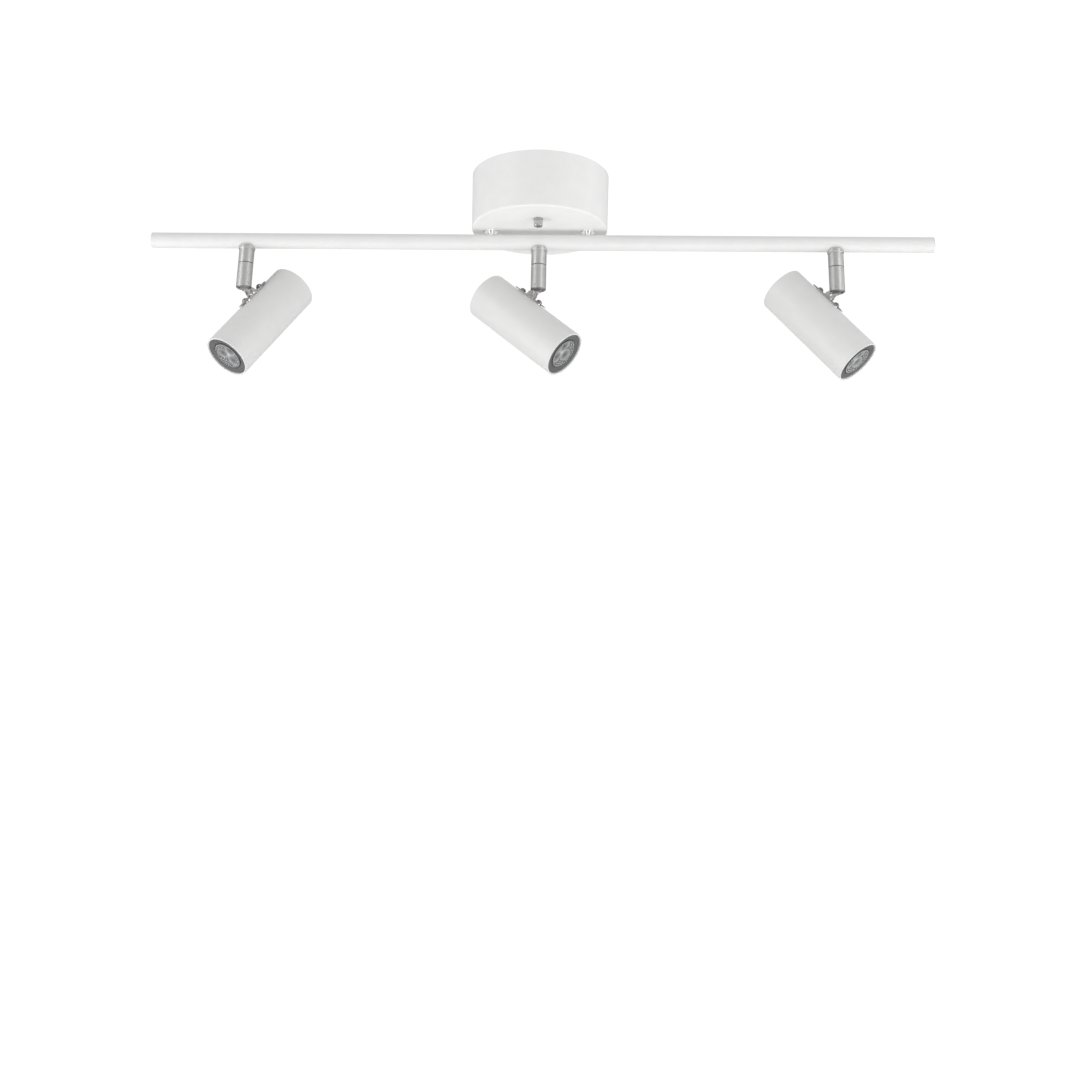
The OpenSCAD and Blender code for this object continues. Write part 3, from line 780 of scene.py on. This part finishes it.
def cut_corners(points):
    """Rounds a route: cuts each corner and keeps the two ends."""
    cut = [points[0]]
    for a, b in zip(points, points[1:]):
        cut += [a * 0.75 + b * 0.25, a * 0.25 + b * 0.75]
    return cut + [points[-1]]


def lead(name, route, radius, sides=16):
    """A round lead along a route that never runs parallel to (1, 1, 1)."""
    points = cut_corners(cut_corners(cut_corners([Vector(p) * MM for p in route])))
    verts = []
    for i, point in enumerate(points):
        along = (points[min(i + 1, len(points) - 1)] - points[max(i - 1, 0)]).normalized()
        across = along.cross(Vector((1, 1, 1))).normalized()
        other = along.cross(across)
        for k in range(sides):
            a = 2 * math.pi * k / sides
            verts.append(point + radius * (across * math.cos(a) + other * math.sin(a)))
    faces = [(i * sides + k, i * sides + (k + 1) % sides,
              (i + 1) * sides + (k + 1) % sides, (i + 1) * sides + k)
             for i in range(len(points) - 1) for k in range(sides)]
    faces += [tuple(reversed(range(sides))), tuple(range(len(verts) - sides, len(verts)))]
    return mesh_object(name, verts, faces)


def rod(name, radius, length, place):
    """A plain round length with soft ends, along the X axis of its place."""
    soft = min(0.2 * MM, radius / 4)
    profile = [(0, 0)] + arc(soft, radius - soft, soft, 180, 90, 3)
    profile += arc(length - soft, radius - soft, soft, 90, 0, 3) + [(length, 0)]
    return lathe(name, profile, place, 32)


def lead_route(k, nipple_x, top_z, bottom_z):
    """From pole k to the front, across to the left spacer and down into the bar, in mm."""
    x = (k - 1) * TERMINAL_PITCH
    y = LEAD_ACROSS_Y - k * LEAD_FAN
    in_x = nipple_x + LEAD_NEST_R * math.cos(math.radians(LEAD_NEST[k]))
    in_y = LEAD_NEST_R * math.sin(math.radians(LEAD_NEST[k]))
    return [(x, LEAD_START_Y, top_z), (x, y + 2, top_z), (x - 6, y, top_z - 4), (-30, y, -22),
            (in_x + 6, y / 2, -36), (in_x, in_y, -48), (in_x, in_y, -60), (in_x, in_y, bottom_z)]


def leads():
    """Brown, blue and green-yellow leads from the terminals, and the sleeved harness in the bar."""
    low, high = extent("wiring")
    nipple_low = extent("bar_nipples")[0]
    nipple_x = nipple_low.x / MM + NIPPLE_R
    harness_z = middle(*extent("bar_tube")).z - HARNESS_LOW * MM
    top_z = high.z / MM - LEAD_R
    bottom_z = harness_z / MM + HARNESS_R + 1
    pieces = []
    for k in range(3):
        piece = lead("lead", lead_route(k, nipple_x, top_z, bottom_z), LEAD_R * MM)
        pieces.append((piece, FIRST_LEAD_TONE + LEAD_TONE_INSET + LEAD_TONE_STEP * k))
    across = Matrix.Translation((low.x, 0, harness_z))
    pieces.append((rod("harness", HARNESS_R * MM, high.x - low.x, across), 0))
    for spot in SPOTS:
        at = middle(*extent("stem_upper_" + spot))
        drop = rod("drop", DROP_R * MM, harness_z - low.z, upright(at.x, at.y, low.z))
        pieces.append((drop, 0))
    for piece, tone in pieces:
        attribute = piece.data.attributes.new("lead_tone", "FLOAT", "POINT")
        attribute.data.foreach_set("value", [tone] * len(piece.data.vertices))
    wiring = join("wiring_leads", [piece for piece, tone in pieces])
    settle(wiring, "frame", "lead_sleeve", insulation, "wiring")


for spot in SPOTS:
    stem_sleeve(spot)
leads()
bar_plugs()
canopy_nuts()
threads()


# ---- Materials of the CAD's own nodes ----

CAD_MATERIALS = {
    "canopy_cup": canopy_paint, "ceiling_bracket": zinc, "bracket_studs": zinc, "cap_nuts": shaded_nut_chrome,
    "cap_washers": shaded_nut_chrome, "terminal_block": nylon, "terminal_screws": zinc, "earth_screw": brass,
    "wiring": insulation, "bar_tube": bar_paint, "bar_end_plugs": plug_white, "bar_spacers": chrome,
    "bar_nipples": zinc, "nipple_nuts": zinc, "stem_nipples": zinc,
}
SPOT_MATERIALS = {
    "stem_collar": satin_nickel, "stem_upper": satin_nickel, "stem_lower": fork_nickel,
    "pivot_pin": zinc, "knuckle_lug": bright_nickel, "mount_plate": plate_nickel,
    "mount_saddle": bright_nickel, "plate_screws": screw_steel, "holder_bracket": zinc,
    "lamp_holder": ceramic, "lamp_body": lamp_white,
}
for spot in SPOTS:
    for part, material in SPOT_MATERIALS.items():
        CAD_MATERIALS[f"{part}_{spot}"] = material
for name, material in CAD_MATERIALS.items():
    mesh = frame["nodes"][name].data
    mesh.materials.clear()
    mesh.materials.append(material)


# ---- Stage, lights and camera ----

# Places and sizes are in metres, in the frame of the CAD
FLOOR_Z = -1.7
FLOOR_R = 3.2
BACKDROP = 1.03          # white that the camera sees
# The room's level, the lobes' light and the softboxes' power come from a helper program: a least-squares
# fit of renders to the photo's greys. The directions, places and sizes were chosen one by one.
ROOM_LEVEL = 0.13        # light that comes from every side of the room
# Direction, and the light that is added from there
ROOM_LOBES = (
    ((0, 1, 0), 0.25),
    ((0, -1, 0), 0.33),
    ((1, 0, 0), 0.07),
    ((0, 0, -1), 0.14),
    ((0, 0, 1), 0.51),
)
LIT_POINT = (0, 0, -0.15)          # every softbox faces it
# Name, place, width, height, and power in watts
SOFTBOXES = (
    ("left_softbox", (-1.9, -1.15, -0.25), 0.8, 1.8, 12.5),
    ("right_softbox", (1.75, -1.5, -0.25), 0.8, 1.8, 12.2),
    ("front_low_softbox", (0.1, -1.1, -1.38), 0.7, 0.6, 2.0),
    ("low_softbox", (0, -0.2, -1.65), 2.4, 1.6, 2.1),
    ("back_softbox", (0, 1.8, -0.9), 2.6, 1.2, 3.3),
    ("left_side_softbox", (-2.2, 0.1, -0.1), 0.6, 1.6, 2.9),
    ("right_side_softbox", (2.2, 0.1, -0.1), 0.6, 1.6, 5.0),
    ("left_low_softbox", (-1.6, -0.3, -1.2), 1.0, 1.0, 8.7),
    ("right_low_softbox", (1.6, -0.3, -1.2), 1.0, 1.0, 7.9),
)
# The camera comes from a fit to the outlines in the photo
CAMERA_PLACE = (0.0763, -1.7157, -0.7488)
CAMERA_AIM = (20.44, -2.50, 1.27)       # pitch, yaw and roll in degrees
CAMERA_LENS = 53.4       # in mm, on a sensor 36 mm wide
CAMERA_SHIFT = -0.2546   # upright, in widths of the sensor


def aim(position, target):
    """The turn that points a light's -Z axis at a target."""
    return (Vector(target) - Vector(position)).to_track_quat("-Z", "Y").to_matrix().to_4x4()


def softbox(name, position, width, height, watts):
    """A rectangular light that faces the spotlight bar and that the camera doesn't see."""
    data = bpy.data.lights.new(name, "AREA")
    data.shape = "RECTANGLE"
    data.size = width
    data.size_y = height
    data.energy = watts
    lamp = bpy.data.objects.new(name, data)
    bpy.context.scene.collection.objects.link(lamp)
    lamp.matrix_world = Matrix.Translation(position) @ aim(position, LIT_POINT)
    lamp.visible_camera = False


def stage_floor():
    """A pale round floor far below, which lights the bar from underneath."""
    floor = lathe("floor", [(0, 0), (0, FLOOR_R)], upright(0, 0, FLOOR_Z), 64)
    s = Shader("pale_floor", (0.82, 0.82, 0.82), 0.8)
    s.tint(s.noise(scale=3, detail=3), spread=0.01)
    floor.data.materials.append(s.material)


def studio_world():
    """White surroundings for the camera, and a softly graded room for light and reflections."""
    world = bpy.data.worlds.new("studio")
    bpy.context.scene.world = world
    world.use_nodes = True
    tree = world.node_tree
    nodes = tree.nodes
    links = tree.links
    nodes.clear()
    direction = nodes.new("ShaderNodeTexCoord").outputs["Generated"]
    total = None
    for lobe, strength in ROOM_LOBES:
        dot = nodes.new("ShaderNodeVectorMath")
        dot.operation = "DOT_PRODUCT"
        dot.inputs[1].default_value = lobe
        links.new(direction, dot.inputs[0])
        above = nodes.new("ShaderNodeMath")
        above.operation = "MAXIMUM"
        above.inputs[1].default_value = 0
        links.new(dot.outputs["Value"], above.inputs[0])
        add = nodes.new("ShaderNodeMath")
        add.operation = "MULTIPLY_ADD"
        add.inputs[1].default_value = strength
        add.inputs[2].default_value = ROOM_LEVEL
        links.new(above.outputs[0], add.inputs[0])
        if total is not None:
            links.new(total, add.inputs[2])
        total = add.outputs[0]
    room = nodes.new("ShaderNodeBackground")
    room.inputs["Color"].default_value = (1, 1, 1, 1)
    links.new(total, room.inputs["Strength"])
    white = nodes.new("ShaderNodeBackground")
    white.inputs["Color"].default_value = (1, 1, 1, 1)
    white.inputs["Strength"].default_value = BACKDROP
    path = nodes.new("ShaderNodeLightPath")
    mix = nodes.new("ShaderNodeMixShader")
    output = nodes.new("ShaderNodeOutputWorld")
    links.new(path.outputs["Is Camera Ray"], mix.inputs["Fac"])
    links.new(room.outputs["Background"], mix.inputs[1])
    links.new(white.outputs["Background"], mix.inputs[2])
    links.new(mix.outputs["Shader"], output.inputs["Surface"])


def camera():
    """Looks up at the light from in front and below, as a person in the room does."""
    pitch, yaw, roll = (math.radians(a) for a in CAMERA_AIM)
    ahead = Vector((math.sin(yaw) * math.cos(pitch), math.cos(yaw) * math.cos(pitch), math.sin(pitch)))
    right = ahead.cross(UP).normalized()
    up = right.cross(ahead)
    rolled_right = right * math.cos(roll) + up * math.sin(roll)
    rolled_up = up * math.cos(roll) - right * math.sin(roll)
    data = bpy.data.cameras.new("camera")
    data.sensor_width = 36
    data.lens = CAMERA_LENS
    data.shift_y = CAMERA_SHIFT
    data.clip_end = 50
    data.dof.use_dof = False
    cam = bpy.data.objects.new("camera", data)
    bpy.context.scene.collection.objects.link(cam)
    turn = Matrix((rolled_right, rolled_up, -ahead)).transposed().to_4x4()
    cam.matrix_world = Matrix.Translation(CAMERA_PLACE) @ turn
    bpy.context.scene.camera = cam


stage_floor()
studio_world()
for box in SOFTBOXES:
    softbox(*box)
camera()
bpy.context.scene.view_settings.view_transform = "Standard"
bpy.context.scene.view_settings.look = "None"
